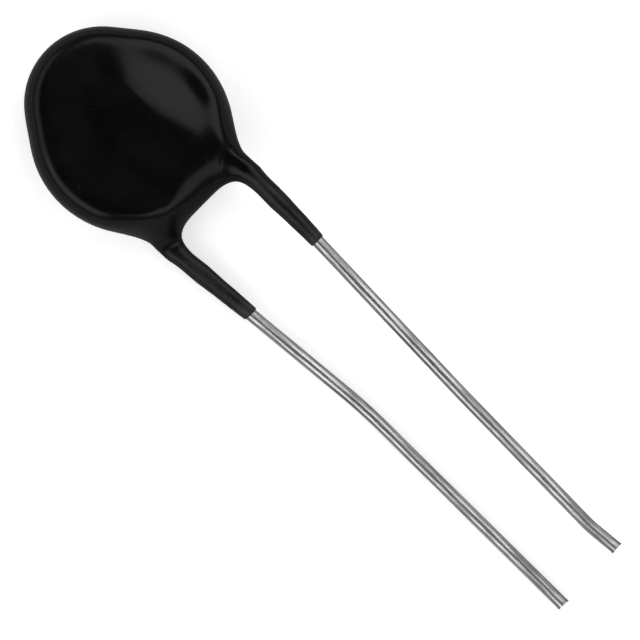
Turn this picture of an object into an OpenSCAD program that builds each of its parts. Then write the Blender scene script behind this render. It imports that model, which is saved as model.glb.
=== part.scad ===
// Disc thermistor with two straight leads, dipped in a black coat.
// It lies on its back: +X runs along the leads, +Z comes out of the front face,
// and the origin is on the table under the middle of the overall box.
// The shape is worked out first with the disc level and its centre at the origin,
// and laid() then lets it settle on the table, on the back of the coat and the rear lead's tip.

/* [Ceramic disc] */
// Diameter of the bare ceramic disc
disc_d = 14; // [12:0.1:15]
// Thickness of the bare ceramic disc
disc_t = 3.2; // [2.4:0.1:4]
// Bevel around both edges of the ceramic disc
disc_bevel = 0.35; // [0.2:0.05:0.5]

/* [Electrodes and solder] */
// Bare ceramic left between each electrode and the disc's edge
electrode_margin = 0.7; // [0.5:0.1:1.2]
// Thickness of each fired silver electrode
electrode_t = 0.05; // [0.03:0.01:0.1]
// Solder film under each wire
solder_film = 0.06; // [0.03:0.01:0.12]
// Width of the solder at its foot
solder_w = 2.1; // [1.8:0.1:2.4]
// How far the solder climbs above the middle of the wire
solder_climb = 0.2; // [0.1:0.05:0.3]
// Silver left bare beyond the ends of the solder
solder_margin = 0.5; // [0.3:0.1:1]
// How far the solder runs on beyond each wire's inner end
solder_past = 0.6; // [0.3:0.1:1]

/* [Leads] */
// Diameter of the tinned wire
wire_d = 1; // [0.8:0.05:1.1]
// Distance between the two leads where they leave the disc
lead_pitch = 8.07; // [7:0.01:8.6]
// How far the pair of leads sits off the disc's middle line
pair_offset = -0.16; // [-0.4:0.01:0.4]
// How much each wire slants towards the middle of the disc where it lies on it
lay_slope = 15.5; // [6:0.5:18]
// Ceramic left beyond each wire's inner end, measured along the wire
wire_end_margin = 7.8; // [3:0.1:9]
// Reach of the front lead's cut tip beyond the ceramic disc
front_tip_reach = 41.7; // [41:0.1:53]
// Reach of the rear lead's cut tip beyond the ceramic disc
rear_tip_reach = 42.1; // [29:0.1:53]

/* [Front lead bends] */
// Where the front lead straightens at the root of its leg, beyond the ceramic disc
front_root_bend = 0.5; // [0:0.1:2]
// Where the front lead turns inwards, inside the coated leg
front_leg_bend = 7.5; // [5:0.1:11]
// Slope of the front lead after its leg
front_run_slope = -1.7; // [-3:0.1:0]
// Where the front lead eases off
front_run_bend = 24.2; // [18:0.1:29]
// Slope of the front lead after it eases off
front_far_slope = -0.9; // [-2:0.1:1]
// Length of the front lead's tip, which kicks outwards
front_tip_length = 2.7; // [2:0.1:6]
// Slope of the front lead's tip
front_tip_slope = 5.5; // [0:0.1:8]

/* [Rear lead bends] */
// Where the rear lead turns inwards at the root of its leg, beyond the ceramic disc
rear_root_bend = 0.6; // [0:0.1:2]
// Slope of the rear lead's first run
rear_run_slope = 5.5; // [0:0.1:6]
// Where the rear lead turns parallel to the disc's middle line
rear_run_bend = 20.5; // [15:0.1:23]
// Slope of the rear lead's straight end
rear_far_slope = 0.4; // [-1:0.1:1]

/* [Bend radii] */
// Radius of the small bends at the roots of the legs
root_bend_r = 6; // [4:1:10]
// Radius of the wide bends along the free wire
run_bend_r = 46; // [30:1:60]
// Radius of the bend near the front lead's tip
tip_bend_r = 6; // [3:0.5:8]

/* [Coat] */
// Coat over both flat faces
face_coat = 0.6; // [0.4:0.05:0.7]
// Coat around the disc's edge
rim_coat = 0.83; // [0.7:0.01:0.95]
// How far the coat sits off the disc's centre, towards the legs
coat_shift = 0.03; // [0:0.01:0.15]
// How far the coat sags off the disc's centre, towards the rear lead
coat_sag = 0.11; // [0:0.01:0.2]
// Coat over the back of each wire on the disc
wire_coat = 0.3; // [0.25:0.01:0.5]
// How far the rounded edge of the coat reaches in from its outline
rim_round = 1.35; // [1:0.05:1.6]
// How far the ridge over each wire slopes down towards the middle of the disc
ridge_in_reach = 5; // [3:0.1:6]
// How far that ridge slopes down towards the disc's edge
ridge_out_reach = 3.4; // [2.6:0.1:5]
// How far that ridge runs out beyond the wire's inner end
ridge_end_reach = 6; // [2:0.1:7]
// How broad the back of that ridge is: less than 1 is a sharper crest and more is flatter
ridge_flat = 1.2; // [0.9:0.05:1.5]
// How much farther the coat hangs at the end where the last drop set
drip_reach = 1.14; // [0.6:0.01:1.6]
// How much tighter the outline turns at the drip end than around the disc
drip_taper = 1.8; // [1:0.01:2.6]
// How far off the middle line the last drop hung, towards the rear lead
drip_sag = 0.22; // [0:0.01:0.5]
// How far the rounded edge reaches in at the fork between the legs
fork_round = 2.8; // [1.6:0.1:3]
// How far the coat bridges out between the leads
web_reach = 0.04; // [0:0.01:0.4]
// Size of the fillets between the disc and the legs, in the gap between them
inner_fillet = 2.1; // [1.4:0.1:2.2]
// Size of the fillets between the disc and the legs, on their outer sides
outer_fillet = 1.8; // [1.4:0.1:2.4]
// How far inside the disc's outline the coat starts to follow the legs
merge_depth = 1.4; // [1:0.1:1.8]
// How long the coat takes to pass from the level disc into the round legs
merge_length = 3.2; // [2.6:0.1:3.8]

/* [Coated legs] */
// Coat around the wires at the roots of the legs
leg_coat = 0.27; // [0.22:0.01:0.36]
// Coat around the wires at the ends of the legs
leg_end_coat = 0.12; // [0.06:0.01:0.18]
// Reach of the legs' coat beyond the ceramic disc
leg_reach = 9.05; // [7:0.05:12]
// How much farther the coat of the rear leg reaches than that of the front leg
rear_leg_more = 0.35; // [0:0.05:1]
// Length of the rounding at the end of each leg's coat
leg_end_round = 0.14; // [0.08:0.01:0.25]
// How much thinner the coat is at the neck, where the legs leave the fillets
leg_neck = 0.16; // [0:0.01:0.18]
// How gradually that neck passes into the rest of the leg
leg_neck_length = 1; // [0.6:0.1:1.5]
// Height of the ring left where the second dip ends
dip_ring = 0.04; // [0:0.01:0.08]
// Half the length of that ring along the leg
dip_ring_length = 0.33; // [0.25:0.01:0.6]
// Where the second dip ends on both legs, beyond the ceramic disc
dip_reach = 2.2; // [2:0.05:3.5]
// Height of the slight swelling half way along each leg
leg_swell = 0.055; // [0:0.005:0.08]
// Half the length of that swelling along the leg
leg_swell_length = 1; // [0.6:0.1:2]
// Where that swelling is, beyond the ceramic disc
leg_swell_reach = 4.5; // [4:0.1:5.5]

/* [Hidden] */

// The two leads are numbered, and every list below that has two entries follows this order
FRONT = 0;
REAR = 1;
SIDE = [1, -1];
round_sides = 96;
small_sides = 48;
bend_steps = 3;
wire_sides = 24;

disc_r = disc_d / 2;
wire_r = wire_d / 2;
body_r = disc_r + rim_coat;
drip_r = body_r - drip_taper;
electrode_r = disc_r - electrode_margin;
half_body = disc_t / 2 + electrode_t + face_coat;
wire_level = disc_t / 2 + electrode_t + solder_film + wire_r;
ridge_height = wire_level + wire_r + wire_coat - half_body;
coat_centre = [coat_shift, -coat_sag];
drip_centre = [drip_r - body_r - drip_reach, -drip_sag];
web_x = body_r + coat_shift + web_reach;

// Each lead's route in plan, as the corners that its bends round off
front_y = pair_offset + lead_pitch / 2;
rear_y = pair_offset - lead_pitch / 2;
front_root = [disc_r + front_root_bend, front_y];
front_start = inner_end(front_root, lay_slope);
front_leg = [disc_r + front_leg_bend, front_y];
front_run = onward(front_leg, front_run_slope, disc_r + front_run_bend);
front_far = onward(front_run, front_far_slope, disc_r + front_tip_reach - front_tip_length);
front_tip = onward(front_far, front_tip_slope, disc_r + front_tip_reach);
rear_root = [disc_r + rear_root_bend, rear_y];
rear_start = inner_end(rear_root, -lay_slope);
rear_run = onward(rear_root, rear_run_slope, disc_r + rear_run_bend);
rear_tip = onward(rear_run, rear_far_slope, disc_r + rear_tip_reach);
ROUTE = [
    [front_start, front_root, front_leg, front_run, front_far, front_tip],
    [rear_start, rear_root, rear_run, rear_tip]
];
BEND_R = [
    [0, root_bend_r, run_bend_r, run_bend_r, tip_bend_r, 0],
    [0, root_bend_r, run_bend_r, 0]
];
LEG_END = [disc_r + leg_reach, disc_r + leg_reach + rear_leg_more];
dip_x = disc_r + dip_reach;
swell_x = disc_r + leg_swell_reach;

// Part of the leg coat's thickness that is left as a step at its very end
leg_end_step = 0.3;
// The fillets pass from their inner to their outer size from this far off the middle line
outer_from = 0.4 * lead_pitch;
// The coat doesn't start to follow the legs before this place
merge_x = 0.4 * body_r;

// Rows and columns of the coat's skin
body_rows = 34;
fan_rows = 9;
leg_rows = 17;
wire_col = 7;
cols = 16;
last_row = body_rows + fan_rows + leg_rows;
edge_steps = 26;

// The skin is divided along the middle line, and the gap between the legs starts at the fork.
// Rows reach the wires a little before they reach the fork, and fan round a point beyond it.
seam_y = pair_offset;
fork_x = web_x;
lag_x = 0.25 * fork_x;
fork_lag = 1.5;
fan_lead = 1.6;
fan_x = fork_x + fan_lead;
// Part of the rows on the disc that keep the even spacing of a round disc
even_rows = 0.7;
// How much the outer columns gather towards the ridge
gather = 0.25;
// The column of points along the wire keeps inside this part of the half width
wire_col_part = 0.62;
wire_col_ease = 0.4;
drip_x = edge([0, seam_y], [-2 * body_r, seam_y]).x;

// The bent tube of a wire stands this far outside its straight end, which it holds in a cuff
tube_over = 0.005;
cuff = wire_d / 4;
// The round hollows that shape the solder's fillets stand this far off its corners
hollow_out = 0.14;
hollow_up = 0.05;

// How the part lies. It touches the table with the back of the coat on both sides of the middle
// line and with the rear lead's tip, and REST_UP is the way up from the table through those three.
settle_steps = 4;
SKIN = skin_points();
REST_UP = settled([0, 0, 1], settle_steps);
rest_turn = acos(REST_UP.z);
rest_axis = cross(REST_UP, [0, 0, 1]);
rest_lift = -lowest(SKIN, REST_UP) * REST_UP;
mid_x = (max(front_tip.x, rear_tip.x) + drip_x) / 2;

function clamped(t) = max(0, min(1, t));
function smooth(t) = let (u = clamped(t)) u * u * (3 - 2 * u);
function mix(a, b, t) = a + (b - a) * t;
function soft_min(a, b, k) = let (h = max(k - abs(a - b), 0)) min(a, b) - h * h / (4 * k);
function onward(p, slope, x) = [x, p.y + (x - p.x) * tan(slope)];
function unit(v) = v / norm(v);
function bump(t) = exp(-t * t);
function wire_y(lead, x) = lookup(x, ROUTE[lead]);

// The inner end of a wire, which runs from its root right across the disc but for the margin
function inner_end(root, slope) =
    let (
        u = [cos(slope), sin(slope)],
        near = root * u,
        far = near + sqrt(near * near - root * root + disc_r * disc_r)
    )
    root - (far - wire_end_margin) * u;

// Coat around a leg: it is thin at the neck, has a ring where the second dip ends,
// swells a little on the way and thins towards its end
function leg_coat_at(lead, x) =
    let (
        root_x = ROUTE[lead][1].x,
        t = clamped((x - root_x) / (LEG_END[lead] - root_x))
    )
    leg_end_coat + (leg_coat - leg_end_coat) * (1 - pow(t, 3))
        + leg_swell * bump((x - swell_x) / leg_swell_length)
        + dip_ring * bump((x - dip_x) / dip_ring_length)
        - leg_neck * smooth((dip_x - x) / leg_neck_length);
function leg_end_share(lead, x) =
    let (t = clamped((x - LEG_END[lead] + leg_end_round) / leg_end_round))
    mix(leg_end_step, 1, sqrt(1 - t * t));
function leg_radius(lead, x) = wire_r + leg_coat_at(lead, x) * leg_end_share(lead, x);

// Distances from the outline in plan, negative inside. A leg's coat runs straight on into the
// disc from the root of the leg, where the wire inside it turns towards the middle.
function disc_distance(p) =
    let (
        q = p - coat_centre,
        length = norm(drip_centre - coat_centre),
        dir = (drip_centre - coat_centre) / length,
        taper = (body_r - drip_r) / length,
        rise = sqrt(1 - taper * taper),
        across = abs(q.x * dir.y - q.y * dir.x),
        along = q * dir,
        k = rise * along - taper * across
    )
    k < 0 ? norm(q) - body_r
    : k > rise * length ? norm([across, along - length]) - drip_r
    : rise * across + taper * along - body_r;
function web_distance(p) = max(p.x - web_x, -p.x, abs(p.y - seam_y) - lead_pitch / 2);
function leg_distance(p, lead) =
    let (straight_y = wire_y(lead, max(p.x, ROUTE[lead][1].x)))
    norm([max(body_r / 2 - p.x, 0), p.y - straight_y]) - leg_radius(lead, p.x);
function plan_distance(p) =
    let (
        body = min(disc_distance(p), web_distance(p)),
        outward = smooth((abs(p.y - seam_y) - outer_from) / wire_d),
        fillet = mix(inner_fillet, outer_fillet, outward),
        with_front = soft_min(body, leg_distance(p, FRONT), fillet)
    )
    soft_min(with_front, leg_distance(p, REAR), fillet);

// The outline is found between a point inside and a point outside by halving
function edge(inside, outside, steps = edge_steps) =
    let (middle = (inside + outside) / 2)
    steps == 0 ? middle
    : plan_distance(middle) < 0 ? edge(middle, outside, steps - 1)
    : edge(inside, middle, steps - 1);

// How far the rounded edge reaches in at a point in plan: it is broader towards the fork
function edge_reach(p) =
    let (off_middle = abs(p.y - seam_y) / (lead_pitch / 2))
    mix(rim_round, fork_round, smooth((p.x - merge_x) / merge_x) * smooth(1 - off_middle));

// Heights of the skin over a point in plan, as [top, bottom]:
// the level slab of the disc passes smoothly into round legs at the levels of their wires,
// and a ridge stands over each wire where it crosses a face
function leg_share(p) =
    smooth((disc_distance(p) + merge_depth) / merge_length) * smooth((p.x - merge_x) / merge_x);
function ridge(p, lead) =
    let (
        past = max(ROUTE[lead][0].x - p.x, 0),
        out = SIDE[lead] * (p.y - wire_y(lead, p.x)),
        t = norm([past / ridge_end_reach, out / (out > 0 ? ridge_out_reach : ridge_in_reach)])
    )
    ridge_height * (1 + cos(180 * pow(min(t, 1), ridge_flat))) / 2;
function heights(p) =
    let (
        lead = p.y > seam_y ? FRONT : REAR,
        share = leg_share(p),
        spread = sin(90 * clamped(abs(p.y - seam_y) / (lead_pitch / 2))),
        level = SIDE[lead] * wire_level * share * spread,
        half = mix(half_body, leg_radius(lead, p.x), share),
        reach = mix(edge_reach(p), leg_radius(lead, p.x), share),
        inward = clamped(-plan_distance(p) / reach),
        crown = sqrt(1 - pow(1 - inward, 2)),
        thick = half * crown,
        proud = (1 - share) * crown
    )
    [level + thick + proud * ridge(p, FRONT), level - thick - proud * ridge(p, REAR)];

// Where each row of the skin meets the middle line, the wire and the outer edge:
// rows cross the disc, fan round the fork and then cross the legs
function seam_x(row) = mix(drip_x, fork_x, (1 - cos(180 * row / body_rows)) / 2);
function fan_share(row) = (row - body_rows) / fan_rows;
function leg_share_of_row(row) = (row - body_rows - fan_rows) / leg_rows;
function row_x(row, lead) =
    row <= body_rows ? seam_x(row) - fork_lag * smooth((seam_x(row) - lag_x) / (fork_x - lag_x))
    : row <= body_rows + fan_rows ? mix(fork_x - fork_lag, fan_x, fan_share(row))
    : mix(fan_x, LEG_END[lead], 1 - pow(1 - leg_share_of_row(row), 2));
function fan_ray(row, lead) =
    let (turn = 180 - 90 * fan_share(row))
    [cos(turn), SIDE[lead] * sin(turn)];
function inner_point(row, lead) =
    row <= body_rows ? [seam_x(row), seam_y]
    : row <= body_rows + fan_rows
        ? edge([fan_x, seam_y] + lead_pitch / 2 * fan_ray(row, lead), [fan_x, seam_y])
    : edge(wire_point(row, lead), [row_x(row, lead), seam_y]);
function outer_point(row, lead) =
    let (x = row_x(row, lead))
    edge([x, row <= body_rows ? seam_y : wire_y(lead, x)], [x, SIDE[lead] * 2 * body_r]);
function wire_point(row, lead) =
    let (x = row_x(row, lead))
    row > body_rows / 2 ? [x, wire_y(lead, x)]
    : let (
        wide = abs(outer_point(row, lead).y - seam_y),
        out = soft_min(abs(wire_y(lead, x) - seam_y), wire_col_part * wide, wire_col_ease)
    )
    [x, seam_y + SIDE[lead] * out];

// The plan points of one row, from the middle line or the gap to the outer edge
function column_points(row, lead) =
    let (
        a = inner_point(row, lead),
        b = wire_point(row, lead),
        c = outer_point(row, lead),
        legness = smooth((row / body_rows - even_rows) / (1 - even_rows))
    )
    [
        for (j = [0 : cols])
            j < wire_col
                ? let (t = 90 * j / wire_col)
                    mix(a, b, mix(sin(t), 1 - cos(t), legness))
                : let (t = 90 * (j - wire_col) / (cols - wire_col))
                    mix(b, c, mix(mix(sin(t), (1 - cos(2 * t)) / 2, gather), sin(t), legness))
    ];

// A row's points raised to the skin: [top points, bottom points], sharing those on the outline
function raised(row, lead) =
    let (
        plan = column_points(row, lead),
        hs = [for (p = plan) heights(p)]
    )
    [for (k = [0, 1]) [for (j = [0 : cols]) [plan[j].x, plan[j].y, hs[j][k]]]];

// One ring round the whole disc, from the front outer edge over the top and back underneath
function body_ring(row) =
    let (
        front = raised(row, FRONT),
        rear = raised(row, REAR)
    )
    [
        for (j = [cols : -1 : 0]) front[0][j],
        for (j = [1 : cols]) rear[0][j],
        for (j = [cols - 1 : -1 : row == body_rows ? 1 : 0]) rear[1][j],
        for (j = [1 : cols - 1]) front[1][j]
    ];
function front_ring(row) =
    let (r = raised(row, FRONT))
    [for (j = [cols : -1 : 0]) r[0][j], for (j = [1 : cols - 1]) r[1][j]];
function rear_ring(row) =
    let (r = raised(row, REAR))
    [for (j = [0 : cols]) r[0][j], for (j = [cols - 1 : -1 : 1]) r[1][j]];

// Numbering of the rings: the last one round the disc is pinched at the fork,
// where its top and bottom share one point, and both legs start from its two halves
body_ring_n = 4 * cols;
leg_ring_n = 2 * cols;
legs_start = body_rows * body_ring_n;
rear_leg_start = legs_start + (last_row - body_rows) * leg_ring_n;
function body_index(row, k) =
    let (
        n = k % body_ring_n,
        pinched = row == body_rows
    )
    1 + (row - 1) * body_ring_n
        + (pinched && n == 3 * cols ? cols : pinched && n > 3 * cols ? n - 1 : n);
function front_index(row, k) =
    let (n = k % leg_ring_n)
    row == body_rows ? body_index(row, n <= cols ? n : n + 2 * cols)
    : legs_start + (row - body_rows - 1) * leg_ring_n + n;
function rear_index(row, k) =
    let (n = k % leg_ring_n)
    row == body_rows ? body_index(row, n + cols)
    : rear_leg_start + (row - body_rows - 1) * leg_ring_n + n;
function band(a, b, c, d) = [[a, b, c], [a, c, d]];
function skin_points() =
    [
        [drip_x, seam_y, 0],
        for (row = [1 : body_rows]) each body_ring(row),
        for (row = [body_rows + 1 : last_row]) each front_ring(row),
        for (row = [body_rows + 1 : last_row]) each rear_ring(row)
    ];

// The part settles as a table would stop it: each step takes the points that are lowest for
// the way up that the step before found, and turns it square to the plane through them
function lowest(points, up) =
    let (levels = [for (p = points) p * up])
    points[search(min(levels), levels)[0]];
function settled(up, steps) =
    let (
        near = lowest([for (p = SKIN) if (p.y < 0) p], up),
        far = lowest([for (p = SKIN) if (p.y > 0) p], up),
        tip = [rear_tip.x, rear_tip.y, -wire_level] - wire_r * up,
        next = unit(cross(tip - near, far - near))
    )
    steps == 0 ? up : settled(next, steps - 1);

module coat_skin() {
    faces = [
        for (k = [0 : body_ring_n - 1]) [0, body_index(1, k), body_index(1, k + 1)],
        for (row = [1 : body_rows - 1], k = [0 : body_ring_n - 1])
            each band(
                body_index(row, k), body_index(row + 1, k),
                body_index(row + 1, k + 1), body_index(row, k + 1)
            ),
        for (row = [body_rows : last_row - 1], k = [0 : leg_ring_n - 1])
            each band(
                front_index(row, k), front_index(row + 1, k),
                front_index(row + 1, k + 1), front_index(row, k + 1)
            ),
        for (row = [body_rows : last_row - 1], k = [0 : leg_ring_n - 1])
            each band(
                rear_index(row, k), rear_index(row + 1, k),
                rear_index(row + 1, k + 1), rear_index(row, k + 1)
            ),
        [for (k = [leg_ring_n - 1 : -1 : 0]) front_index(last_row, k)],
        [for (k = [leg_ring_n - 1 : -1 : 0]) rear_index(last_row, k)]
    ];
    polyhedron(points = SKIN, faces = faces, convexity = 6);
}

// Leads: one swept tube round the bends, and a true cylinder for the straight end
function heading(route, i) =
    atan2(route[i + 1].y - route[i].y, route[i + 1].x - route[i].x);
function turn(route, i) = heading(route, i) - heading(route, i - 1);
function tangent(route, radii, i) = radii[i] * tan(abs(turn(route, i)) / 2);
function bend_frames(route, radii, i) =
    let (
        from = heading(route, i - 1),
        swing = turn(route, i),
        hand = sign(swing),
        back = tangent(route, radii, i),
        start = route[i] - back * [cos(from), sin(from)],
        centre = start + hand * radii[i] * [-sin(from), cos(from)]
    )
    [
        for (s = [0 : bend_steps])
            let (h = from + swing * s / bend_steps)
            [centre.x + hand * radii[i] * sin(h), centre.y - hand * radii[i] * cos(h), h]
    ];
function wire_ring(frame, r) =
    [
        for (k = [0 : wire_sides - 1])
            let (a = 360 * k / wire_sides)
            [frame.x - r * sin(a) * sin(frame.z), frame.y + r * sin(a) * cos(frame.z), r * cos(a)]
    ];

module bent_wire(frames, r) {
    n = wire_sides;
    rings = len(frames);
    points = [for (f = frames) each wire_ring(f, r)];
    faces = [
        [for (k = [n - 1 : -1 : 0]) k],
        for (i = [0 : rings - 2], k = [0 : n - 1])
            let (m = (k + 1) % n)
            each band(i * n + k, i * n + m, (i + 1) * n + m, (i + 1) * n + k),
        [for (k = [0 : n - 1]) (rings - 1) * n + k]
    ];
    polyhedron(points = points, faces = faces, convexity = 4);
}

module lead_shape(lead) {
    route = ROUTE[lead];
    radii = BEND_R[lead];
    last = len(route) - 2;
    // The facets of the tube stand just outside the cylinder that leaves it
    tube_r = (wire_r + tube_over) / cos(180 / wire_sides);
    last_turn = heading(route, last);
    along = [cos(last_turn), sin(last_turn)];
    start = route[last] + tangent(route, radii, last) * along;
    cuff_end = start + cuff * along;
    frames = [
        [route[0].x, route[0].y, heading(route, 0)],
        for (i = [1 : last]) each bend_frames(route, radii, i),
        [cuff_end.x, cuff_end.y, last_turn]
    ];
    translate([0, 0, SIDE[lead] * wire_level]) {
        bent_wire(frames, tube_r);
        translate([start.x, start.y, 0])
            rotate([0, 0, last_turn])
                rotate([0, 90, 0])
                    cylinder(r = wire_r, h = norm(route[last + 1] - start), $fn = small_sides);
    }
}

module ceramic_shape() {
    r = disc_r;
    h = disc_t / 2;
    rotate_extrude($fn = round_sides)
        polygon([
            [0, -h], [r - disc_bevel, -h], [r, disc_bevel - h],
            [r, h - disc_bevel], [r - disc_bevel, h], [0, h]
        ]);
}

module electrode_shape(lead) {
    base = lead == FRONT ? disc_t / 2 : -disc_t / 2 - electrode_t;
    translate([0, 0, base])
        cylinder(r = electrode_r, h = electrode_t, $fn = round_sides);
}

// Solder along a wire: two hollow fillets that climb its sides, as far as the silver allows
module solder_bead(lead) {
    height = solder_film + wire_r + solder_climb;
    hollow_r = solder_w / 2 - wire_r + 2 * hollow_up;
    foot = disc_t / 2 + electrode_t;
    slope = heading(ROUTE[lead], 0);
    length = norm(ROUTE[lead][1] - ROUTE[lead][0]) + solder_past;
    flip = lead == FRONT ? 0 : 180;
    rotate([flip, 0, 0])
        intersection() {
            translate([0, 0, foot])
                cylinder(r = electrode_r - solder_margin, h = height, $fn = round_sides);
            translate([ROUTE[lead][1].x, SIDE[lead] * ROUTE[lead][1].y, foot])
                rotate([0, 0, SIDE[lead] * slope])
                    rotate([90, 0, -90])
                        linear_extrude(height = length)
                            difference() {
                                translate([-solder_w / 2, 0])
                                    square([solder_w, height]);
                                for (s = [-1, 1])
                                    translate([s * (solder_w / 2 + hollow_out), height + hollow_up])
                                        circle(r = hollow_r, $fn = small_sides);
                            }
        }
}

module solder_shape(lead) {
    difference() {
        solder_bead(lead);
        lead_shape(lead);
    }
}

module laid() {
    translate([-mid_x, 0, rest_lift])
        rotate(a = rest_turn, v = rest_axis)
            children();
}

module coating() {
    color("#1b1c1e")
        laid()
            difference() {
                coat_skin();
                ceramic_shape();
                electrode_shape(FRONT);
                electrode_shape(REAR);
                solder_bead(FRONT);
                solder_bead(REAR);
                lead_shape(FRONT);
                lead_shape(REAR);
            }
}

module ceramic_disc() {
    color("#4a443f")
        laid()
            ceramic_shape();
}

module front_electrode() {
    color("#c9cbcd")
        laid()
            electrode_shape(FRONT);
}

module rear_electrode() {
    color("#c9cbcd")
        laid()
            electrode_shape(REAR);
}

module front_solder() {
    color("#9a9da1")
        laid()
            solder_shape(FRONT);
}

module rear_solder() {
    color("#9a9da1")
        laid()
            solder_shape(REAR);
}

module front_lead() {
    color("#b4b7ba")
        laid()
            lead_shape(FRONT);
}

module rear_lead() {
    color("#b4b7ba")
        laid()
            lead_shape(REAR);
}

coating();
ceramic_disc();
front_electrode();
rear_electrode();
front_solder();
rear_solder();
front_lead();
rear_lead();
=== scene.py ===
import sys
import logging
import math
from collections.abc import Callable, Iterable
from dataclasses import dataclass
from enum import Enum
from typing import Any, Protocol, Union

import bmesh
import bpy
from mathutils import Matrix, Vector
from mathutils.bvhtree import BVHTree


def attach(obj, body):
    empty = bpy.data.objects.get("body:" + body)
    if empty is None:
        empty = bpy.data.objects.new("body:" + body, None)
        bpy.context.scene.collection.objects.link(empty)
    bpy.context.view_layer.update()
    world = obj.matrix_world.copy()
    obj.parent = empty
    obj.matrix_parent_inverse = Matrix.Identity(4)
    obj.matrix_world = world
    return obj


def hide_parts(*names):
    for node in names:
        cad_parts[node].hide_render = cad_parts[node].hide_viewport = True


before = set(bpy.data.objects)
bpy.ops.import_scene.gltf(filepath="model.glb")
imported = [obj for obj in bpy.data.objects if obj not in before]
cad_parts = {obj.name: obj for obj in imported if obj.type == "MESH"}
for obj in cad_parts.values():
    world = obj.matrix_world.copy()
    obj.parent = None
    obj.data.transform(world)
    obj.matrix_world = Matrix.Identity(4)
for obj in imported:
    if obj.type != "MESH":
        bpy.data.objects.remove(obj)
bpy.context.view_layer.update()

LOG = logging.getLogger("thermistor")
MM = 0.001
Point = tuple[float, float, float]
Colour = tuple[float, float, float]
Span = tuple[float, float]
Value = Union[float, "Amount"]
WHITE: Colour = (1.0, 1.0, 1.0)


# ---- patterns


@dataclass(frozen=True)
class Clouds:
    """A cloudy pattern.

    Attributes:
        scale: Clouds to a metre.
        detail: How many finer layers are laid over the first.
        rough: How strong those layers are.
        warp: How much the clouds are pulled about.
        stretch: The scale along each axis, where it isn't the same all round.
    """

    scale: float = 1.0
    detail: float = 3.0
    rough: float = 0.5
    warp: float = 0.0
    stretch: Point | None = None


@dataclass(frozen=True)
class Spots:
    """Small round spots, each in a cell of its own.

    Attributes:
        size: Radius of a spot as a part of its cell.
        scale: Cells to a metre.
        core: The part of its radius that a spot fills wholly.
        stretch: The scale along each axis, where it isn't the same all round.
    """

    size: float
    scale: float = 1.0
    core: float = 0.4
    stretch: Point | None = None


@dataclass(frozen=True)
class Relief:
    """A bump: what a height of 1 is in metres, and how much of it is used."""

    height: float
    strength: float = 0.8


# ---- shader sums


class Amount:
    """A number that changes over a surface, so that sums on it read as plain maths."""

    def __init__(self, recipe: "Nodes", socket: bpy.types.NodeSocket) -> None:
        """Wraps a value socket of one recipe.

        Args:
            recipe: The recipe that the socket belongs to.
            socket: The output socket that carries the number.
        """
        self.recipe = recipe
        self.socket = socket

    def _sum(self, operation: str, first: Value, second: Value) -> "Amount":
        """Adds one Math node.

        Args:
            operation: The Math node's operation.
            first: Its first value or link.
            second: Its second value or link.

        Returns:
            The result as a new amount.
        """
        made = self.recipe.node("ShaderNodeMath", {"operation": operation}, {0: first, 1: second})
        return Amount(self.recipe, made.outputs[0])

    def __add__(self, other: Value) -> "Amount":
        """self + other."""
        return self._sum("ADD", self, other)

    __radd__ = __add__

    def __mul__(self, other: Value) -> "Amount":
        """self * other."""
        return self._sum("MULTIPLY", self, other)

    __rmul__ = __mul__

    def __sub__(self, other: Value) -> "Amount":
        """self - other."""
        return self._sum("SUBTRACT", self, other)

    def __rsub__(self, other: Value) -> "Amount":
        """other - self."""
        return self._sum("SUBTRACT", other, self)

    def __truediv__(self, other: Value) -> "Amount":
        """self / other."""
        return self._sum("DIVIDE", self, other)

    def between(self, low: float, high: float) -> "Amount":
        """A smooth step of this amount.

        Args:
            low: Where the step starts, at 0.
            high: Where it ends, at 1. It may lie below low, which turns the step round.

        Returns:
            The step, from 0 to 1.
        """
        made = self.recipe.node(
            "ShaderNodeMapRange",
            {"interpolation_type": "SMOOTHSTEP"},
            {"Value": self, "From Min": low, "From Max": high},
        )
        return Amount(self.recipe, made.outputs["Result"])


class Nodes:
    """A node tree that starts empty, for a material or for the room's light."""

    def __init__(self, owner: Any, output: str) -> None:
        """Clears the owner's nodes and adds its output.

        Args:
            owner: The material or world.
            output: The type of its output node.
        """
        owner.use_nodes = True
        self.tree = owner.node_tree
        self.tree.nodes.clear()
        self.output = self.node(output)

    def shine(self, shader: bpy.types.Node) -> None:
        """Sends a shader to the output."""
        self.tree.links.new(shader.outputs[0], self.output.inputs["Surface"])

    def node(
        self,
        kind: str,
        settings: dict[str, Any] | None = None,
        values: dict[Any, Any] | None = None,
    ) -> bpy.types.Node:
        """Adds a node.

        Args:
            kind: The node's type.
            settings: What is set on the node itself, before its sockets.
            values: A value or a link for each socket, by name or number.

        Returns:
            The new node.
        """
        made = self.tree.nodes.new(kind)
        for key, setting in (settings or {}).items():
            setattr(made, key, setting)
        for key, value in (values or {}).items():
            if isinstance(value, Amount):
                value = value.socket
            if isinstance(value, bpy.types.NodeSocket):
                self.tree.links.new(value, made.inputs[key])
            elif isinstance(value, tuple) and len(value) == 3 and made.inputs[key].type == "RGBA":
                made.inputs[key].default_value = (*value, 1.0)
            else:
                made.inputs[key].default_value = value
        return made


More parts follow.
